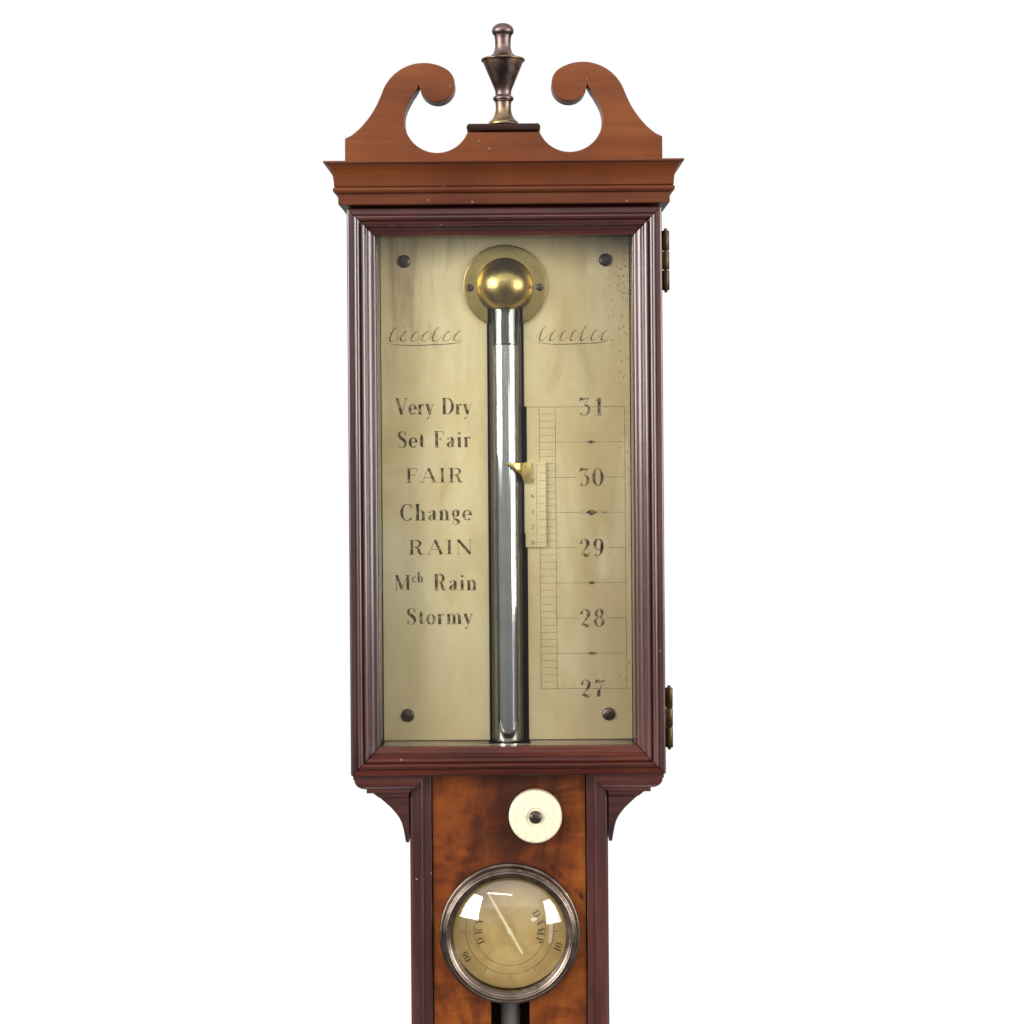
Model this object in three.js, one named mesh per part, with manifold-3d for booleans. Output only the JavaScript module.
// A wall-hung mercury stick barometer in a mahogany case, with a glazed register, a rack-driven
// vernier, a hygrometer on the trunk, and a boxwood cistern with a leather bag and portable screw.
//
// Millimetres. +X is the viewer's right, the front faces -Y and +Z is up. The origin is on the wall
// face of the back board, on the centre line, at the level of the mercury in the cistern, so a
// reading of n inches stands at z = n * INCH.

import * as THREE from "three";
import * as BufferGeometryUtils from "three/addons/utils/BufferGeometryUtils.js";
import Module from "manifold-3d";

const wasm = await Module();
wasm.setup();

// ---------------------------------------------------------------- driving dimensions

const INCH = 25.4;
const GAP = 0.3; // air left between touching pieces

const BACK_BOARD_FRONT = -7;
const WORK_BACK = BACK_BOARD_FRONT - GAP; // back face of whatever stands on the back board

const HEAD_HALF = 55;
const HEAD_INNER_HALF = 45;
const HEAD_BOTTOM = 658.7;
const HEAD_TOP = 857.6;
const HEAD_FRONT = -37;
const SHELF_TOP = 667.3;

const TRUNK_HALF = 35;
const STILE_WIDTH = 7.6;
const TRUNK_TOP = HEAD_BOTTOM - GAP;
const PANEL_BACK = -30;
const PANEL_FRONT = -36;
const STILE_FRONT = -38.5;

const BASE_HALF = 39;
const BASE_TOP = 42;
const BASE_CENTRE = -2; // height of the centre of the base's half-round end

const CORNICE_FASCIA_HALF = 57.5;
const CORNICE_FASCIA_FRONT = -50;
const CORNICE_DEPTH = 10; // thickness of the cornice moulding behind its fascia
const CORNICE_BOTTOM = 857.9;
const CORNICE_TOP = 872.6;

const PEDIMENT_BACK = -35;
const PEDIMENT_FRONT = -45;
const PEDIMENT_HALF = 55.5;
const PEDIMENT_BOTTOM = CORNICE_TOP + GAP;
const PLINTH_TOP = 883.7;
const FINIAL_FOOT = 886.6;
const FINIAL_HEIGHT = 36.1;

const HANGER_HALF = 9;
const HANGER_BOTTOM = 814;
const HANGER_EYE_Z = 877.5;
const HANGER_FRONT = -1.6;

const TUBE_Y = -24;
const TUBE_RADIUS = 3.65;
const TUBE_BORE = 2.4;
const TUBE_HEAD_RADIUS = 6;
const TUBE_HEAD_BORE = 4.5;
const TUBE_DOME_CENTRE = 832;
const NECK_BOTTOM = 628; // the wide head of the tube narrows between these two heights
const NECK_TOP = 648;
const TUBE_BOTTOM = -7.6;
const MERCURY_TOP = 811;

const PLATE_BACK = -23.8;
const PLATE_FRONT = -25;
const PLATE_HALF = 44.8;
const PLATE_BOTTOM = SHELF_TOP + GAP;
const PLATE_TOP = 852;
const PLATE_SLOT_HALF = 6.6;
const VERNIER_SLOT_EDGE = 7.5;
const VERNIER_SLOT_TOP = 787.7;
const PLATE_SCREWS = [[-36.2, 840.3], [36.2, 840.3], [-36.2, 676.6], [36.2, 676.6]];

const CAP_CENTRE = 831;
const CAP_RADIUS = 10;
const CAP_FLANGE_RADIUS = 15;
const CAP_FLANGE_FRONT = -26.5;
const CAP_SCREW_X = 12.6;
const CAP_SCREW_Z = 830.5;

const DOOR_BACK = -37.3;
const DOOR_BOTTOM = HEAD_BOTTOM;
const DOOR_TOP = 857.4;
const DOOR_HALF = 55;
const REBATE = 7.2; // distance from the door's outer edge to the glass rebate
const HINGE_X = 57;
const HINGE_Y = -37.15;
const HINGE_HALF = 10.5;
const HINGE_CENTRES = { lower: 677.2, upper: 838.9 };
const LEAF_THICKNESS = 0.8;
const LEAF_INNER_X = 48.2;

const KNOB_X = 9.35;
const KNOB_Z = 643.5;
const KNOB_RADIUS = 9.35;
const GEAR_MODULE = 0.5;
const PINION_TEETH = 16;
const PINION_PITCH_RADIUS = (GEAR_MODULE * PINION_TEETH) / 2;
const TOOTH_PITCH = Math.PI * GEAR_MODULE;
const GEAR_BACK = -9.2;
const GEAR_FRONT = -14.8;
const RACK_PITCH_X = KNOB_X + PINION_PITCH_RADIUS + 0.1;
const RACK_BACK_X = 16.6;

const INDEX_Z = 30.18 * INCH;
const VERNIER_LEFT = 6.8;
const VERNIER_RIGHT = 14.2;
const VERNIER_BOTTOM = 737;
const VERNIER_FRONT = -26.3;

const HYGROMETER_Z = 601.2;
const HYGROMETER_DRUM_RADIUS = 22.2;
const HYGROMETER_BEZEL_RADIUS = 24.6;
const HYGROMETER_SIGHT_RADIUS = 20.35;
const GLASS_CROWN = -43;
const GLASS_SPHERE_RADIUS = 46;
const GLASS_THICKNESS = 0.8;
const POINTER_LEAN_DEG = 29.2; // to the left of upright at rest
const POINTER_BACK = -34.2;
const POINTER_THICKNESS = 0.6;

const TUBE_CHANNEL_HALF = 6.85;
const TUBE_CHANNEL_BOTTOM = 76.85;

const CISTERN_RADIUS = 16.2;
const CISTERN_BORE = 13.2;
const COVER_CENTRE = -3;
const POOL_BOTTOM = -9.7;
const BAG_BOTTOM = -23.3;
const PAD_BOTTOM = -26.6;
const CISTERN_SPLIT = -12; // the joint between the cup and the base of the cistern
const CAVITY_BOTTOM = -33;
const COLLAR_BOTTOM = -43;
const SCREW_HEAD_TOP = -52;
const SCREW_HEAD_BOTTOM = -60;

// ---------------------------------------------------------------- finishes

const FINISHES = {
  warmMahogany: { color: 0x8a4c2a, roughness: 0.32, metalness: 0 },
  flameMahogany: { color: 0x7a3c1c, roughness: 0.28, metalness: 0 },
  darkMahogany: { color: 0x4b2424, roughness: 0.3, metalness: 0 },
  plainWood: { color: 0x6b4a33, roughness: 0.7, metalness: 0 },
  silveredBrass: { color: 0xc8b88e, roughness: 0.45, metalness: 0.6 },
  brass: { color: 0x9c7a34, roughness: 0.3, metalness: 1 },
  bronze: { color: 0x5c4a42, roughness: 0.35, metalness: 1 },
  steel: { color: 0x45403c, roughness: 0.4, metalness: 1 },
  ivory: { color: 0xf5f1e4, roughness: 0.3, metalness: 0 },
  glass: { color: 0xe8efee, roughness: 0.05, metalness: 0 },
  mercury: { color: 0xc9ccd0, roughness: 0.05, metalness: 1 },
  boxwood: { color: 0xb98f52, roughness: 0.5, metalness: 0 },
  leather: { color: 0x9a7450, roughness: 0.8, metalness: 0 },
  dialCard: { color: 0xd9cfae, roughness: 0.6, metalness: 0 },
  straw: { color: 0xe6d88c, roughness: 0.5, metalness: 0 },
};

const barometer = new THREE.Group();

function add(name, geometry, finish) {
  const mesh = new THREE.Mesh(geometry, new THREE.MeshStandardMaterial(FINISHES[finish]));
  mesh.name = name;
  barometer.add(mesh);
}

// ---------------------------------------------------------------- outlines

function polygon(points) {
  return new THREE.Shape(points.map(([x, y]) => new THREE.Vector2(x, y)));
}

function rectangle(x0, x1, y0, y1) {
  return polygon([[x0, y0], [x1, y0], [x1, y1], [x0, y1]]);
}

function circlePath(x, y, radius) {
  const path = new THREE.Path();
  path.absarc(x, y, radius, 0, 2 * Math.PI, false);
  return path;
}

// ---------------------------------------------------------------- solids

function extruded(shape, depth, curveSegments = 8) {
  return new THREE.ExtrudeGeometry(shape, { depth, bevelEnabled: false, curveSegments });
}

function axes(first, second, third) {
  return new THREE.Matrix4().makeBasis(
    new THREE.Vector3(...first), new THREE.Vector3(...second), new THREE.Vector3(...third));
}

const TO_FRONT = axes([1, 0, 0], [0, 0, 1], [0, -1, 0]);
const TO_SIDE = axes([0, 1, 0], [0, 0, 1], [1, 0, 0]);

// An outline drawn in x and z, as seen from the front, running from yBack forward to yFront.
function frontSlab(shape, yBack, yFront, curveSegments) {
  return extruded(shape, yBack - yFront, curveSegments).applyMatrix4(TO_FRONT).translate(0, yBack, 0);
}

// An outline drawn in y and z, running from x0 to x1.
function sideBar(shape, x0, x1) {
  return extruded(shape, x1 - x0).applyMatrix4(TO_SIDE).translate(x0, 0, 0);
}

// An outline drawn in x and y, running from z0 up to z1.
function upright(shape, z0, z1, curveSegments) {
  return extruded(shape, z1 - z0, curveSegments).translate(0, 0, z0);
}

function block(x0, x1, yBack, yFront, z0, z1) {
  return new THREE.BoxGeometry(x1 - x0, yBack - yFront, z1 - z0)
    .translate((x0 + x1) / 2, (yBack + yFront) / 2, (z0 + z1) / 2);
}

function signedVolume(geometry) {
  const flat = geometry.index ? geometry.toNonIndexed() : geometry;
  const corners = flat.attributes.position;
  const [a, b, c] = [new THREE.Vector3(), new THREE.Vector3(), new THREE.Vector3()];
  let total = 0;
  for (let i = 0; i < corners.count; i += 3) {
    a.fromBufferAttribute(corners, i);
    b.fromBufferAttribute(corners, i + 1);
    c.fromBufferAttribute(corners, i + 2);
    total += a.dot(b.cross(c)) / 6;
  }
  return total;
}

// Turns a profile of [radius, height] points about the Y axis. A profile may run either way.
function turned(profile, segments) {
  const points = profile.map(([radius, height]) => new THREE.Vector2(radius, height));
  const geometry = new THREE.LatheGeometry(points, segments);
  if (signedVolume(geometry) >= 0) {
    return geometry;
  }
  return new THREE.LatheGeometry(points.reverse(), segments);
}

// A turning on an upright axis through (x, y): the profile is [radius, z].
function turnedUpright(profile, x, y, segments = 20) {
  return turned(profile, segments).rotateX(Math.PI / 2).translate(x, y, 0);
}

// A turning on a front-to-back axis through (x, z): the profile is [radius, y].
function turnedToFront(profile, x, z, segments = 20) {
  const towardsFront = profile.map(([radius, y]) => [radius, -y]);
  return turned(towardsFront, segments).rotateX(Math.PI).translate(x, 0, z);
}

function rod(radius, yBack, yFront, x, z, segments = 16) {
  return turnedToFront([[0, yBack], [radius, yBack], [radius, yFront], [0, yFront]], x, z, segments);
}

function post(radius, z0, z1, x, y, segments = 16) {
  return turnedUpright([[0, z0], [radius, z0], [radius, z1], [0, z1]], x, y, segments);
}

// Points on an arc of an ellipse, from one angle in degrees to another.
function arcPoints(centreX, centreY, radiusX, radiusY, fromDeg, toDeg, steps) {
  return Array.from({ length: steps + 1 }, (_, i) => {
    const angle = THREE.MathUtils.degToRad(fromDeg + ((toDeg - fromDeg) * i) / steps);
    return [centreX + radiusX * Math.cos(angle), centreY + radiusY * Math.sin(angle)];
  });
}

// Slides the ends of a straight bar along its length, so that it meets its neighbours at mitres.
function mitred(geometry, axis, startAt, endAt) {
  geometry.computeBoundingBox();
  const middle = (geometry.boundingBox.min[axis] + geometry.boundingBox.max[axis]) / 2;
  const corners = geometry.attributes.position;
  const corner = new THREE.Vector3();
  for (let i = 0; i < corners.count; i += 1) {
    corner.fromBufferAttribute(corners, i);
    corner[axis] = corner[axis] < middle ? startAt(corner) : endAt(corner);
    corners.setXYZ(i, corner.x, corner.y, corner.z);
  }
  geometry.computeVertexNormals();
  return geometry;
}

// ---------------------------------------------------------------- joining and cutting

function toSolid(geometry) {
  const bare = geometry.clone();
  bare.deleteAttribute("normal");
  bare.deleteAttribute("uv");
  const merged = BufferGeometryUtils.mergeVertices(bare);
  return new wasm.Manifold(new wasm.Mesh({
    numProp: 3,
    vertProperties: new Float32Array(merged.attributes.position.array),
    triVerts: new Uint32Array(merged.index.array),
  }));
}

function toGeometry(solid) {
  const { vertProperties, triVerts } = solid.getMesh();
  const geometry = new THREE.BufferGeometry();
  geometry.setAttribute("position", new THREE.BufferAttribute(new Float32Array(vertProperties), 3));
  geometry.setIndex(new THREE.BufferAttribute(new Uint32Array(triVerts), 1));
  geometry.computeVertexNormals();
  return geometry;
}

function combined(method, first, others) {
  return toGeometry(others.reduce((solid, next) => solid[method](toSolid(next)), toSolid(first)));
}

const cut = (body, ...tools) => combined("subtract", body, tools);
const join = (...pieces) => combined("add", pieces[0], pieces.slice(1));
const common = (...pieces) => combined("intersect", pieces[0], pieces.slice(1));

// ---------------------------------------------------------------- the case

function addBackBoard() {
  const outline = new THREE.Shape();
  outline.absarc(0, BASE_CENTRE, BASE_HALF, Math.PI, 2 * Math.PI, false);
  outline.lineTo(BASE_HALF, BASE_TOP);
  outline.lineTo(TRUNK_HALF, BASE_TOP);
  outline.lineTo(TRUNK_HALF, HEAD_BOTTOM);
  outline.lineTo(HEAD_HALF, HEAD_BOTTOM);
  outline.lineTo(HEAD_HALF, HEAD_TOP);
  outline.lineTo(-HEAD_HALF, HEAD_TOP);
  outline.lineTo(-HEAD_HALF, HEAD_BOTTOM);
  outline.lineTo(-TRUNK_HALF, HEAD_BOTTOM);
  outline.lineTo(-TRUNK_HALF, BASE_TOP);
  outline.lineTo(-BASE_HALF, BASE_TOP);
  const board = frontSlab(outline, 0, BACK_BOARD_FRONT, 24);
  const hangerRecess = block(-HANGER_HALF - GAP, HANGER_HALF + GAP, 1, HANGER_FRONT - GAP,
    HANGER_BOTTOM - GAP, HEAD_TOP + 1);
  add("back_board", cut(board, hangerRecess), "plainWood");
}

function addHangingPlate() {
  const outline = new THREE.Shape();
  outline.moveTo(-HANGER_HALF, HANGER_BOTTOM);
  outline.lineTo(HANGER_HALF, HANGER_BOTTOM);
  outline.absarc(0, HANGER_EYE_Z, HANGER_HALF, 0, Math.PI, false);
  outline.holes.push(circlePath(0, HANGER_EYE_Z, 4));
  add("hanging_plate", frontSlab(outline, 0, HANGER_FRONT, 10), "brass");
}

function hingeMortise(x0, yBack, yFront, centre) {
  return block(x0, HEAD_HALF + GAP, yBack, yFront, centre - HINGE_HALF - GAP, centre + HINGE_HALF + GAP);
}

function addHeadCase() {
  add("head_left_side",
    block(-HEAD_HALF, -HEAD_INNER_HALF, WORK_BACK, HEAD_FRONT, HEAD_BOTTOM, HEAD_TOP), "darkMahogany");
  const rightSide = block(HEAD_INNER_HALF, HEAD_HALF, WORK_BACK, HEAD_FRONT, HEAD_BOTTOM, HEAD_TOP);
  const mortises = Object.values(HINGE_CENTRES).map((centre) =>
    hingeMortise(LEAF_INNER_X - GAP, HEAD_FRONT + LEAF_THICKNESS + 2 * GAP, HEAD_FRONT - 1, centre));
  add("head_right_side", cut(rightSide, ...mortises), "darkMahogany");

  const boardHalf = HEAD_INNER_HALF - GAP;
  const shelf = block(-boardHalf, boardHalf, WORK_BACK, HEAD_FRONT, HEAD_BOTTOM, SHELF_TOP);
  const tubeNotch = block(-7, VERNIER_SLOT_EDGE + GAP, 0, -31, HEAD_BOTTOM - 1, SHELF_TOP + 1);
  const rackNotch = block(0, RACK_BACK_X + 0.9, 0, PLATE_BACK, HEAD_BOTTOM - 1, SHELF_TOP + 1);
  add("head_shelf", cut(shelf, tubeNotch, rackNotch), "darkMahogany");

  const lining = block(-boardHalf, boardHalf, WORK_BACK, HEAD_FRONT, PLATE_TOP + GAP, CORNICE_BOTTOM + 1);
  const capHalf = CORNICE_FASCIA_HALF - CORNICE_DEPTH - GAP;
  const capFront = CORNICE_FASCIA_FRONT + CORNICE_DEPTH + GAP;
  const cap = block(-capHalf, capHalf, 0, capFront, CORNICE_BOTTOM, CORNICE_TOP);
  const hangerNotch = block(-HANGER_HALF - GAP, HANGER_HALF + GAP, 1, HANGER_FRONT - GAP,
    CORNICE_BOTTOM - 1, CORNICE_TOP + 1);
  add("head_top_board", cut(join(lining, cap), hangerNotch), "plainWood");
}

// The cornice moulding as [projection beyond the fascia, z], from the bottom up.
function corniceProfile() {
  return [
    [0, CORNICE_BOTTOM], [0, 861.8], [0.7, 861.8],
    ...arcPoints(0.7, 863, 1, 1.1, -60, 60, 3),
    [0.9, 864.1], [1.3, 864.1],
    ...arcPoints(4.4, 864.1, 3.1, 7.6, 180, 90, 5).slice(1),
    [4.7, 871.8], [4.7, CORNICE_TOP],
  ];
}

function addCornice() {
  const behind = -CORNICE_DEPTH;
  const section = [...corniceProfile(), [behind, CORNICE_TOP], [behind, CORNICE_BOTTOM]];
  const offset = CORNICE_FASCIA_HALF + CORNICE_FASCIA_FRONT; // the mitre line runs through |x| + y = offset
  const frontSection = polygon(section.map(([out, z]) => [CORNICE_FASCIA_FRONT - out, z]));
  const front = mitred(sideBar(frontSection, -1, 1), "x",
    (corner) => corner.y - offset, (corner) => offset - corner.y);
  add("cornice_front", front, "warmMahogany");

  for (const [name, side] of [["cornice_left_return", -1], ["cornice_right_return", 1]]) {
    const sideSection = polygon(section.map(([out, z]) => [side * (CORNICE_FASCIA_HALF + out), z]));
    const bar = mitred(frontSlab(sideSection, 0, -2), "y",
      (corner) => offset - Math.abs(corner.x) + GAP, () => 0);
    add(name, bar, "warmMahogany");
  }
}

// The left half of the swan-neck pediment, from the bottom edge round to the top of the plinth.
function pedimentHalf() {
  const horn = { x: -27.8, z: 892.5, radius: 15.5, from: 162, to: 59.6 };
  const scroll = { x: -23.1, z: 900.5, radius: 6.2 };
  const eye = { x: -23.2, z: 888, radius: 11.5 };
  const rad = THREE.MathUtils.degToRad;
  const path = new THREE.Path();
  path.moveTo(-PEDIMENT_HALF, PEDIMENT_BOTTOM);
  path.lineTo(-PEDIMENT_HALF, 881.7);
  path.lineTo(-53.2, 882.8);
  path.bezierCurveTo(-49.1, 885.7, -44.35, 891.6, -42.54, 897.29);
  path.absarc(horn.x, horn.z, horn.radius, rad(horn.from), rad(horn.to), true);
  path.absarc(scroll.x, scroll.z, scroll.radius, rad(horn.to), rad(-180), true);
  path.bezierCurveTo(-30.6, 899.4, -32.4, 896.8, -33.16, 893.75);
  path.absarc(eye.x, eye.z, eye.radius, rad(150), rad(338), false);
  return path.getPoints(8).filter((point, i, all) => i === 0 || point.distanceTo(all[i - 1]) > 0.05);
}

function addPediment() {
  const left = pedimentHalf();
  left[left.length - 1].y = PLINTH_TOP;
  const right = left.map((point) => new THREE.Vector2(-point.x, point.y)).reverse();
  add("pediment", frontSlab(new THREE.Shape([...left, ...right]), PEDIMENT_BACK, PEDIMENT_FRONT),
    "warmMahogany");

  const capBottom = PLINTH_TOP + GAP;
  const capSection = polygon([
    [-12.1, capBottom], [12.1, capBottom], [12.85, 884.7], [12.85, 885.5], [12.2, 886.3],
    [-12.2, 886.3], [-12.85, 885.5], [-12.85, 884.7],
  ]);
  add("plinth_cap", frontSlab(capSection, -33.5, -46.5), "warmMahogany");
}

// The urn finial as [height above its foot, radius].
const FINIAL_PROFILE = [
  [0, 5.3], [0.7, 5.2], [1.6, 4.4], [3.4, 3.2], [5.4, 2.7], [8.4, 2.85], [9.2, 3.5], [10.2, 3.4],
  [10.9, 2.8], [12.4, 2.95], [15, 4], [18, 5.25], [20.9, 6.5], [22.5, 7.1], [22.9, 7.65], [23.6, 7.5],
  [24.5, 4.4], [25.8, 3.1], [28.5, 2.8], [31.8, 3.1], [33, 3.8], [34.4, 3.75], [35.6, 2.4],
];

function addFinial() {
  const profile = FINIAL_PROFILE.map(([height, radius]) => [radius, FINIAL_FOOT + height]);
  add("finial", turnedUpright([[0, FINIAL_FOOT], ...profile, [0, FINIAL_FOOT + FINIAL_HEIGHT]],
    0, (PEDIMENT_BACK + PEDIMENT_FRONT) / 2, 14), "bronze");
}

function addTrunk() {
  for (const [name, side] of [["trunk_left_side", -1], ["trunk_right_side", 1]]) {
    const inner = TRUNK_HALF - STILE_WIDTH;
    const section = [
      [inner, WORK_BACK], [TRUNK_HALF, WORK_BACK], [TRUNK_HALF, STILE_FRONT + 1.3],
      [TRUNK_HALF - 0.4, STILE_FRONT + 0.4], [TRUNK_HALF - 1.3, STILE_FRONT],
      [TRUNK_HALF - 4.7, STILE_FRONT], [TRUNK_HALF - 4.9, STILE_FRONT + 1], [inner, STILE_FRONT + 1.4],
    ].map(([x, y]) => [side * x, y]);
    add(name, upright(polygon(section), BASE_TOP + GAP, TRUNK_TOP), "darkMahogany");
  }

  const panelHalf = TRUNK_HALF - STILE_WIDTH - GAP;
  const panel = rectangle(-panelHalf, panelHalf, BASE_TOP + GAP, TRUNK_TOP);
  panel.holes.push(circlePath(KNOB_X, KNOB_Z, 2.9));
  const drumRadius = HYGROMETER_DRUM_RADIUS + GAP;
  const meeting = Math.asin(TUBE_CHANNEL_HALF / drumRadius);
  const opening = new THREE.Path();
  opening.absarc(0, HYGROMETER_Z, drumRadius, -Math.PI / 2 + meeting, 1.5 * Math.PI - meeting, false);
  opening.absarc(0, TUBE_CHANNEL_BOTTOM, TUBE_CHANNEL_HALF, Math.PI, 2 * Math.PI, false);
  panel.holes.push(opening);
  add("trunk_front_panel", frontSlab(panel, PANEL_BACK, PANEL_FRONT, 14), "flameMahogany");
}

// The bracket under the head: its outline seen from the front, and its moulding in depth, which
// runs across the top of the stile and ends there in a mitre.
function addBrackets() {
  const top = HEAD_BOTTOM - GAP;
  const inner = -TRUNK_HALF - GAP;
  const side = polygon([
    [inner, top], [-54.5, top], [-54.5, 657],
    ...arcPoints(-49.9, 657, 4.2, 3.7, 180, 270, 4),
    [-49.9, 652], [-47.7, 651.6],
    ...arcPoints(-36.8, 651.6, 10.5, 8, 180, 230, 3).slice(1),
    ...arcPoints(-47.5, 634, 11.6, 9.6, 50, 0, 4),
    [inner, 634],
  ]);
  const moulding = polygon([
    [-1, top], [-42.8, top], [-42.8, 657],
    ...arcPoints(-40.6, 657, 2.2, 3.7, 180, 270, 3).slice(1),
    [-40.6, 652], [-39.6, 651.6], [-39.6, 650.4], [STILE_FRONT, 649.6], [STILE_FRONT, 633], [-1, 633],
  ]);
  const mitreWidth = 6.6;
  const mitre = polygon([
    [inner, 633], [inner, top - mitreWidth], [inner + mitreWidth, top], [-60, top], [-60, 633],
  ]);
  const body = common(frontSlab(side, 0, -50), sideBar(moulding, -60, 0));
  const nosing = common(
    sideBar(moulding, -54.5, 0), frontSlab(mitre, STILE_FRONT - GAP, -50),
    block(-50, 0, 0, -50, 651.6, top));
  const left = join(body, nosing);
  add("bracket_left", left, "darkMahogany");
  add("bracket_right", mirrored(left), "darkMahogany");
}

function mirrored(geometry) {
  const copy = geometry.clone().scale(-1, 1, 1);
  const index = copy.index.array;
  for (let i = 0; i < index.length; i += 3) {
    [index[i + 1], index[i + 2]] = [index[i + 2], index[i + 1]];
  }
  copy.computeVertexNormals();
  return copy;
}

// ---------------------------------------------------------------- the register

function addRegister() {
  for (const [name, side] of [["plate_ground_left", -1], ["plate_ground_right", 1]]) {
    const [x0, x1] = side < 0 ? [-HEAD_INNER_HALF + GAP, -20] : [20, HEAD_INNER_HALF - GAP];
    const packer = block(x0, x1, WORK_BACK, PLATE_BACK + GAP, PLATE_BOTTOM, PLATE_TOP);
    const holes = PLATE_SCREWS.filter(([x]) => x * side > 0)
      .map(([x, z]) => rod(1.4, -18, PLATE_BACK - 1, x, z, 10));
    add(name, cut(packer, ...holes), "plainWood");
  }

  const plate = new THREE.Shape();
  plate.moveTo(-PLATE_HALF, PLATE_BOTTOM);
  plate.lineTo(-PLATE_SLOT_HALF, PLATE_BOTTOM);
  plate.absarc(0, TUBE_DOME_CENTRE, PLATE_SLOT_HALF, Math.PI, 0, true);
  plate.lineTo(PLATE_SLOT_HALF, VERNIER_SLOT_TOP);
  plate.lineTo(VERNIER_SLOT_EDGE, VERNIER_SLOT_TOP);
  plate.lineTo(VERNIER_SLOT_EDGE, PLATE_BOTTOM);
  plate.lineTo(PLATE_HALF, PLATE_BOTTOM);
  plate.lineTo(PLATE_HALF, PLATE_TOP);
  plate.lineTo(-PLATE_HALF, PLATE_TOP);
  for (const [x, z] of PLATE_SCREWS) {
    plate.holes.push(circlePath(x, z, 1.4));
  }
  for (const side of [-1, 1]) {
    plate.holes.push(circlePath(side * CAP_SCREW_X, CAP_SCREW_Z, 1));
  }
  add("register_plate", frontSlab(plate, PLATE_BACK, PLATE_FRONT, 6), "silveredBrass");

  PLATE_SCREWS.forEach(([x, z], i) => {
    const seat = PLATE_FRONT - GAP;
    const profile = [
      [0, -19], [1, -19.6], [1, seat], [2.35, seat], [2.3, seat - 0.5], [1.5, seat - 1.1], [0, seat - 1.4],
    ];
    add(`plate_screw_${i + 1}`, turnedToFront(profile, x, z, 12), "steel");
  });
}

function addTubeCap() {
  const dome = new THREE.SphereGeometry(CAP_RADIUS, 20, 12)
    .rotateX(Math.PI / 2).translate(0, PLATE_FRONT, CAP_CENTRE);
  const inside = new THREE.SphereGeometry(CAP_RADIUS - 1, 16, 8)
    .rotateX(Math.PI / 2).translate(0, PLATE_FRONT, CAP_CENTRE);
  const flangeBack = PLATE_FRONT - GAP;
  const flange = rod(CAP_FLANGE_RADIUS, flangeBack, CAP_FLANGE_FRONT, 0, CAP_CENTRE, 24);
  const inFront = block(-20, 20, flangeBack, -40, CAP_CENTRE - 20, CAP_CENTRE + 20);
  const tubeWay = post(TUBE_HEAD_RADIUS + 0.4, 800, CAP_CENTRE + 4, 0, TUBE_Y, 20);
  const flangeNotch = block(-6.5, 6.5, -20, CAP_FLANGE_FRONT - 0.1, 800, CAP_CENTRE);
  const screwHoles = [-1, 1].map((side) => rod(1, -20, -30, side * CAP_SCREW_X, CAP_SCREW_Z, 10));
  const shell = toGeometry(
    toSolid(common(dome, inFront)).add(toSolid(flange)).subtract(toSolid(inside)));
  add("tube_cap", cut(shell, tubeWay, flangeNotch, ...screwHoles), "brass");

  for (const [name, side] of [["cap_screw_left", -1], ["cap_screw_right", 1]]) {
    const seat = CAP_FLANGE_FRONT - GAP;
    const profile = [
      [0, -23.9], [0.7, -23.9], [0.7, seat], [1.35, seat], [1.25, seat - 0.5], [0.7, seat - 0.8],
      [0, seat - 0.9],
    ];
    add(name, turnedToFront(profile, side * CAP_SCREW_X, CAP_SCREW_Z, 10), "brass");
  }
}

function addTube() {
  const outside = [
    ...arcPoints(0, TUBE_DOME_CENTRE, TUBE_HEAD_RADIUS, TUBE_HEAD_RADIUS, 90, 0, 4),
    [TUBE_HEAD_RADIUS, NECK_TOP], [TUBE_RADIUS, NECK_BOTTOM], [TUBE_RADIUS, TUBE_BOTTOM],
  ];
  const inside = [
    [TUBE_BORE, TUBE_BOTTOM], [TUBE_BORE, NECK_BOTTOM], [TUBE_HEAD_BORE, NECK_TOP],
    ...arcPoints(0, TUBE_DOME_CENTRE, TUBE_HEAD_BORE, TUBE_HEAD_BORE, 0, 90, 4),
  ];
  outside[0][0] = 0;
  inside[inside.length - 1][0] = 0;
  add("barometer_tube", turnedUpright([...outside, ...inside], 0, TUBE_Y, 16), "glass");

  const column = [
    [0, TUBE_BOTTOM + GAP], [TUBE_BORE - GAP, TUBE_BOTTOM + GAP], [TUBE_BORE - GAP, NECK_BOTTOM],
    [TUBE_HEAD_BORE - GAP, NECK_TOP], [TUBE_HEAD_BORE - GAP, MERCURY_TOP - 1.2], [3, MERCURY_TOP - 0.4],
    [0, MERCURY_TOP],
  ];
  add("mercury_column", turnedUpright(column, 0, TUBE_Y, 12), "mercury");
}

// ---------------------------------------------------------------- the cistern and its base

function addBase() {
  const outline = new THREE.Shape();
  outline.absarc(0, BASE_CENTRE, BASE_HALF, Math.PI, 2 * Math.PI, false);
  outline.lineTo(BASE_HALF, BASE_TOP);
  outline.lineTo(-BASE_HALF, BASE_TOP);
  const cavity = new THREE.Path();
  cavity.absarc(0, 8, 19, 0, Math.PI, false);
  cavity.lineTo(-19, -29);
  cavity.lineTo(-17, CAVITY_BOTTOM);
  cavity.lineTo(17, CAVITY_BOTTOM);
  cavity.lineTo(19, -29);
  outline.holes.push(cavity);
  const tubeSlot = block(-5, 5, 0, -29, 20, BASE_TOP + 1);
  const collarHole = post(5.3, -50, -30, 0, TUBE_Y, 20);
  add("cistern_housing", cut(frontSlab(outline, WORK_BACK, PANEL_FRONT, 20), tubeSlot, collarHole),
    "darkMahogany");

  const coverBack = PANEL_FRONT - GAP;
  const cover = [
    [31, coverBack], [35, coverBack], [35.4, -37.4], [34.6, -38.8], [33.2, -39.2], [33.2, -40.4],
    [32.2, -41.2],
    ...arcPoints(0, -41.6, 31.6, 22, 0, -82, 6),
    [4, -63.8], [3.6, -65.6], [2, -66.8], [0, -67.2],
    [0, -60.6],
    ...arcPoints(0, -41.6, 28.4, 19, -90, 0, 4).slice(1),
    [31, coverBack],
  ];
  add("cistern_cover", turnedToFront(cover, 0, COVER_CENTRE, 24), "warmMahogany");
}

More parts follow.
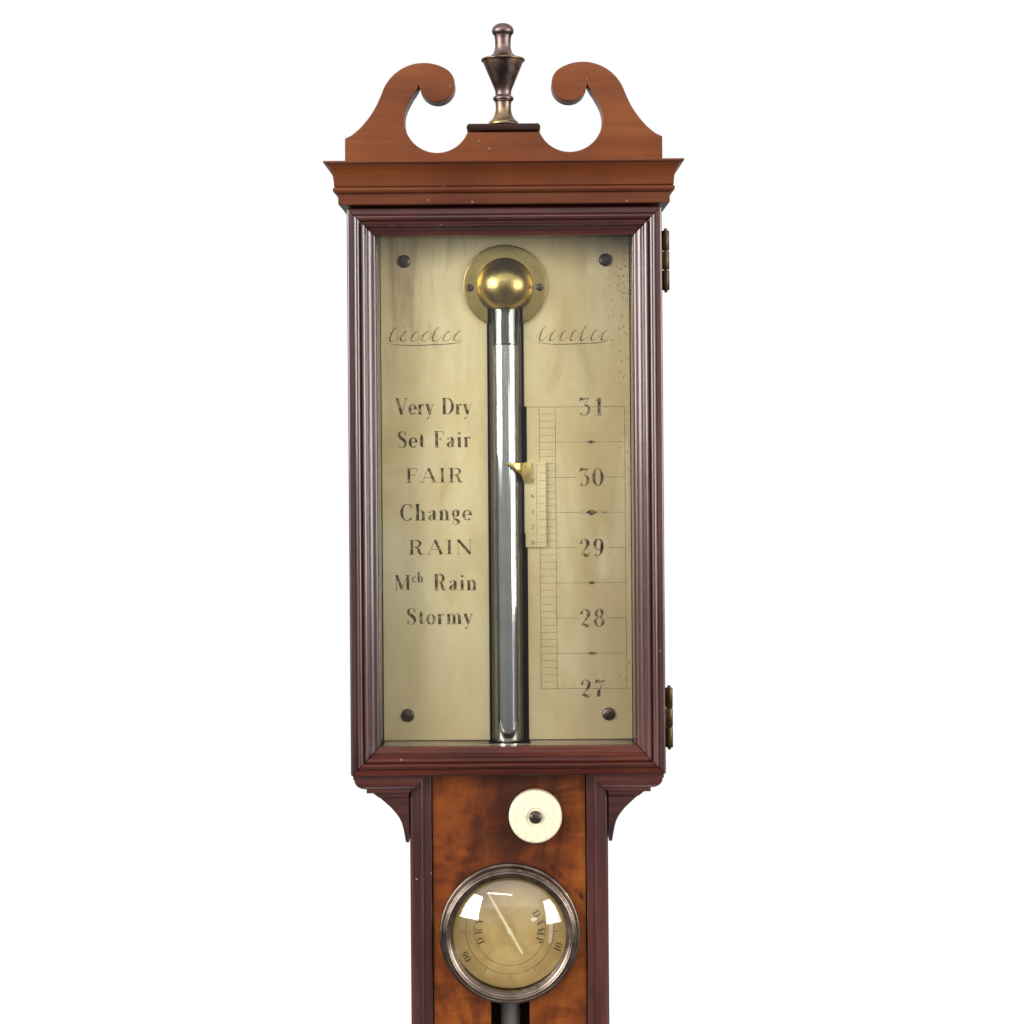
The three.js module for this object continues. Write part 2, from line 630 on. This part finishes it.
function addCistern() {
  const wet = (profile, segments = 18) => turnedUpright(profile, 0, TUBE_Y, segments);
  const neckBore = TUBE_RADIUS + 0.35;
  add("cistern_cup", wet([
    [CISTERN_BORE, CISTERN_SPLIT], [CISTERN_RADIUS, CISTERN_SPLIT], [CISTERN_RADIUS, 13], [14.6, 16.5],
    [9, 18.5], [7.2, 22], [neckBore, 22], [neckBore, 14], [CISTERN_BORE, 11.5],
    [CISTERN_BORE, CISTERN_SPLIT],
  ]), "boxwood");
  const baseTop = CISTERN_SPLIT - GAP;
  add("cistern_base", wet([
    [CISTERN_BORE, baseTop], [CISTERN_BORE, -29], [2.9, -29], [2.9, -31.5], [CISTERN_RADIUS, -31.5],
    [CISTERN_RADIUS, baseTop], [CISTERN_BORE, baseTop],
  ]), "boxwood");
  const poolRadius = CISTERN_BORE - GAP;
  add("cistern_mercury", wet([
    [0, POOL_BOTTOM], [poolRadius, POOL_BOTTOM], [poolRadius, 0], [neckBore, 0], [neckBore, -8.6],
    [0, -8.6],
  ]), "mercury");
  const bagTop = POOL_BOTTOM - GAP;
  add("leather_bag", wet([
    [0, BAG_BOTTOM], [7, BAG_BOTTOM], [11, -21.2], [12.6, -17], [poolRadius, -12.6],
    [poolRadius, bagTop], [0, bagTop],
  ]), "leather");
  add("pressure_pad", post(11.5, PAD_BOTTOM, BAG_BOTTOM - GAP, 0, TUBE_Y, 20), "boxwood");
  add("screw_collar", wet([
    [2.9, COLLAR_BOTTOM], [9, COLLAR_BOTTOM], [9, -41.3], [5, -41.3], [5, -33.3], [2.9, -33.3],
    [2.9, COLLAR_BOTTOM],
  ], 20), "brass");

  const ribs = 12;
  const headOutline = polygon(Array.from({ length: 2 * ribs }, (_, i) => {
    const angle = (Math.PI * i) / ribs;
    const radius = i % 2 === 0 ? 6.6 : 6;
    return [radius * Math.cos(angle), TUBE_Y + radius * Math.sin(angle)];
  }));
  const shank = post(2.5, SCREW_HEAD_TOP - 1, PAD_BOTTOM - GAP, 0, TUBE_Y, 16);
  add("portable_screw", join(upright(headOutline, SCREW_HEAD_BOTTOM, SCREW_HEAD_TOP), shank), "brass");
}

// ---------------------------------------------------------------- the hygrometer

function addHygrometer() {
  const aligned = (profile, segments = 22) => turnedToFront(profile, 0, HYGROMETER_Z, segments);
  const drum = HYGROMETER_DRUM_RADIUS;
  const bore = drum - 0.8;
  add("hygrometer_case", aligned([
    [0, -28.2], [drum, -28.2], [drum, -38.3], [bore, -38.3], [bore, -29], [0, -29],
  ]), "bronze");
  const dialRadius = bore - GAP;
  add("hygrometer_dial", aligned([
    [0.9, -32], [dialRadius, -32], [dialRadius, -32.8], [0.9, -32.8], [0.9, -32],
  ]), "dialCard");
  add("oat_beard", rod(0.45, -29.3, -33.9, 0, HYGROMETER_Z, 8), "straw");

  const hand = polygon([
    [15.5, 0], [13.2, 0.55], [1, 0.45], [-7.4, 0.5], [-9.1, 0], [-7.4, -0.5], [1, -0.45], [13.2, -0.55],
  ]);
  const hub = new THREE.Shape();
  hub.absarc(0, 0, 1.9, 0, 2 * Math.PI, false);
  const pointer = join(extruded(hand, POINTER_THICKNESS), extruded(hub, POINTER_THICKNESS));
  pointer.rotateZ(THREE.MathUtils.degToRad(90 + POINTER_LEAN_DEG));
  pointer.applyMatrix4(TO_FRONT).translate(0, POINTER_BACK, HYGROMETER_Z);
  add("hygrometer_pointer", pointer, "straw");

  // The glass is a piece of a sphere.
  const fall = (radius) => GLASS_SPHERE_RADIUS - Math.sqrt(GLASS_SPHERE_RADIUS ** 2 - radius ** 2);
  const stations = [0, 5.5, 11, 16.5, dialRadius];
  const front = stations.map((radius) => [radius, GLASS_CROWN + fall(radius)]);
  const back = stations.map((radius) => [radius, GLASS_CROWN + GLASS_THICKNESS + fall(radius)]);
  add("hygrometer_glass", aligned([...front, ...back.reverse()]), "glass");
  const sight = HYGROMETER_SIGHT_RADIUS;
  const rim = HYGROMETER_BEZEL_RADIUS;
  add("hygrometer_bezel", aligned([
    [drum + GAP, PANEL_FRONT - GAP], [rim, PANEL_FRONT - GAP], [rim, -37.4], [rim - 0.7, -38],
    [rim - 0.9, -39.4], [rim - 2, -40.9], [rim - 3.2, -41.2], [sight + 0.2, -40.6], [sight, -39.9],
    [sight, -38.7], [drum + GAP, -38.7], [drum + GAP, PANEL_FRONT - GAP],
  ], 26), "bronze");
}

// ---------------------------------------------------------------- the glazed door

// The door frame's section as [distance from its outer edge, y].
const DOOR_SECTION = [
  [0, DOOR_BACK], [0, -45.6], [0.6, -46.3], [2.5, -46.3], [2.8, -47.2], [3.5, -47.5], [4.3, -47.2],
  [4.6, -46.6], [5.2, -46.9], [6.2, -46.3], [6.6, -45.4], [8.8, -44.4], [9.6, -43.4], [9.6, -40.9],
  [REBATE, -40.9], [REBATE, DOOR_BACK],
];

function addDoor() {
  const mitreGap = GAP / 2;
  for (const [name, side] of [["door_left_stile", -1], ["door_right_stile", 1]]) {
    const section = polygon(DOOR_SECTION.map(([inward, y]) => [side * (DOOR_HALF - inward), y]));
    const inward = (corner) => DOOR_HALF - Math.abs(corner.x);
    let stile = mitred(upright(section, DOOR_BOTTOM, DOOR_TOP), "z",
      (corner) => DOOR_BOTTOM + inward(corner) + mitreGap, (corner) => DOOR_TOP - inward(corner) - mitreGap);
    if (side > 0) {
      const mortises = Object.values(HINGE_CENTRES).map((centre) =>
        hingeMortise(LEAF_INNER_X - GAP, DOOR_BACK + 1, DOOR_BACK - LEAF_THICKNESS - 2 * GAP, centre));
      stile = cut(stile, ...mortises);
    }
    add(name, stile, "darkMahogany");
  }
  for (const [name, edge, up] of [["door_bottom_rail", DOOR_BOTTOM, 1], ["door_top_rail", DOOR_TOP, -1]]) {
    const section = polygon(DOOR_SECTION.map(([inward, y]) => [y, edge + up * inward]));
    const inward = (corner) => Math.abs(corner.z - edge);
    add(name, mitred(sideBar(section, -DOOR_HALF, DOOR_HALF), "x",
      (corner) => -DOOR_HALF + inward(corner) + mitreGap, (corner) => DOOR_HALF - inward(corner) - mitreGap),
    "darkMahogany");
  }
  const glassEdge = REBATE + GAP;
  const glassHalf = DOOR_HALF - glassEdge;
  add("door_glass", block(-glassHalf, glassHalf, -38.3, -40.5,
    DOOR_BOTTOM + glassEdge, DOOR_TOP - glassEdge), "glass");
}

// A hinge leaf with its knuckles: spans are the [from, to] heights of its knuckles.
function hingeLeaf(yBack, centre, spans) {
  const leaf = block(LEAF_INNER_X, HEAD_HALF + 0.4, yBack, yBack - LEAF_THICKNESS,
    centre - HINGE_HALF, centre + HINGE_HALF);
  const knuckles = spans.flatMap(([from, to]) => [
    block(HEAD_HALF, HINGE_X, yBack, yBack - LEAF_THICKNESS, centre + from, centre + to),
    post(1.3, centre + from, centre + to, HINGE_X, HINGE_Y, 14),
  ]);
  return join(leaf, ...knuckles);
}

function addHinges() {
  const middle = HINGE_HALF / 3;
  for (const [place, centre] of Object.entries(HINGE_CENTRES)) {
    const caseLeaf = hingeLeaf(HEAD_FRONT + LEAF_THICKNESS + 0.1, centre,
      [[-HINGE_HALF, -middle], [middle, HINGE_HALF]]);
    const pin = post(0.6, centre - HINGE_HALF - 0.8, centre + HINGE_HALF + 0.8, HINGE_X, HINGE_Y, 10);
    add(`hinge_${place}_case_leaf`, join(caseLeaf, pin), "brass");
    const doorLeaf = hingeLeaf(DOOR_BACK - 0.1, centre, [[-middle + GAP, middle - GAP]]);
    const pinBore = post(0.9, centre - HINGE_HALF, centre + HINGE_HALF, HINGE_X, HINGE_Y, 10);
    add(`hinge_${place}_door_leaf`, cut(doorLeaf, pinBore), "brass");
  }
}

// ---------------------------------------------------------------- the vernier and its rack work

// One flank-to-flank tooth as [offset along the pitch line in pitches, depth from the pitch line],
// positive towards the tip.
const TOOTH = [[-0.32, -0.7], [-0.11, 0.35], [0.11, 0.35], [0.32, -0.7]];

function addKnob() {
  const pinionOutline = [];
  for (let tooth = 0; tooth < PINION_TEETH; tooth += 1) {
    for (const [along, height] of TOOTH) {
      const angle = (2 * Math.PI * (tooth + along)) / PINION_TEETH;
      const radius = PINION_PITCH_RADIUS + height;
      pinionOutline.push([KNOB_X + radius * Math.cos(angle), KNOB_Z + radius * Math.sin(angle)]);
    }
  }
  const pinion = frontSlab(polygon(pinionOutline), GEAR_BACK, GEAR_FRONT);
  add("knob_arbor", join(pinion, rod(1.3, WORK_BACK - GAP, -41.2, KNOB_X, KNOB_Z, 14)), "steel");
  add("arbor_bush", turnedToFront([
    [1.6, -30.2], [2.6, -30.2], [2.6, -36.3], [4.2, -36.3], [4.2, -36.9], [1.6, -36.9], [1.6, -30.2],
  ], KNOB_X, KNOB_Z, 18), "brass");
  add("setting_knob", turnedToFront([
    [1.6, -37.2], [4.5, -37.2], [4.9, -38.4], [8.5, -38.6], [KNOB_RADIUS, -39.5], [KNOB_RADIUS, -41.6],
    [8.7, -42.6], [7.2, -43], [3.7, -43], [3.5, -42.6], [1.6, -42.6], [1.6, -37.2],
  ], KNOB_X, KNOB_Z, 20), "ivory");
  add("knob_screw", turnedToFront([
    [0, -41.5], [1.2, -41.5], [1.2, -42.9], [2.25, -42.9], [2.15, -43.4], [1.3, -43.9], [0, -44.1],
  ], KNOB_X, KNOB_Z, 14), "steel");
}

function addVernier() {
  const plate = block(VERNIER_LEFT, VERNIER_RIGHT, PLATE_FRONT - GAP, VERNIER_FRONT,
    VERNIER_BOTTOM, INDEX_Z + 1);
  const tongue = block(6.45, 7.2, -22, VERNIER_FRONT, 742, 764);
  add("vernier_plate", join(plate, tongue), "silveredBrass");

  const wrap = [
    ...arcPoints(0, TUBE_Y, 7.2, 7.2, -92, -24, 6),
    ...arcPoints(0, TUBE_Y, 6.5, 6.5, -24, -92, 6),
  ];
  const seat = VERNIER_FRONT - GAP;
  const flange = block(6.1, 9, seat, seat - 0.7, 757, INDEX_Z + 2);
  const profile = polygon([
    [-2, INDEX_Z + 0.9], [-2, INDEX_Z], [1, INDEX_Z], [3.2, INDEX_Z - 1.6], [5.4, INDEX_Z - 3.6],
    [6.3, INDEX_Z - 6], [9.5, INDEX_Z - 7], [9.5, INDEX_Z + 0.9],
  ]);
  add("index_finger", common(
    join(upright(polygon(wrap), 755, INDEX_Z + 2), flange), frontSlab(profile, -20, -35)), "brass");

  const racked = [[RACK_BACK_X, 615.2], [RACK_BACK_X, 766], [RACK_PITCH_X - 0.3, 766]];
  for (let tooth = 46; tooth >= -17; tooth -= 1) {
    const centre = KNOB_Z + (tooth + 0.5) * TOOTH_PITCH;
    for (const [along, height] of TOOTH) {
      racked.push([RACK_PITCH_X - height, centre - along * TOOTH_PITCH]);
    }
  }
  racked.push([RACK_PITCH_X + 0.7, 615.2]);
  const rack = frontSlab(polygon(racked), GEAR_BACK, GEAR_FRONT);
  const carrier = block(7.4, RACK_BACK_X, GEAR_FRONT + 1, -23.2, 742, 764);
  add("vernier_rack", join(rack, carrier), "brass");
}

addBackBoard();
addHangingPlate();
addHeadCase();
addCornice();
addPediment();
addFinial();
addTrunk();
addBrackets();
addRegister();
addTubeCap();
addTube();
addBase();
addCistern();
addHygrometer();
addDoor();
addHinges();
addKnob();
addVernier();

export default barometer;
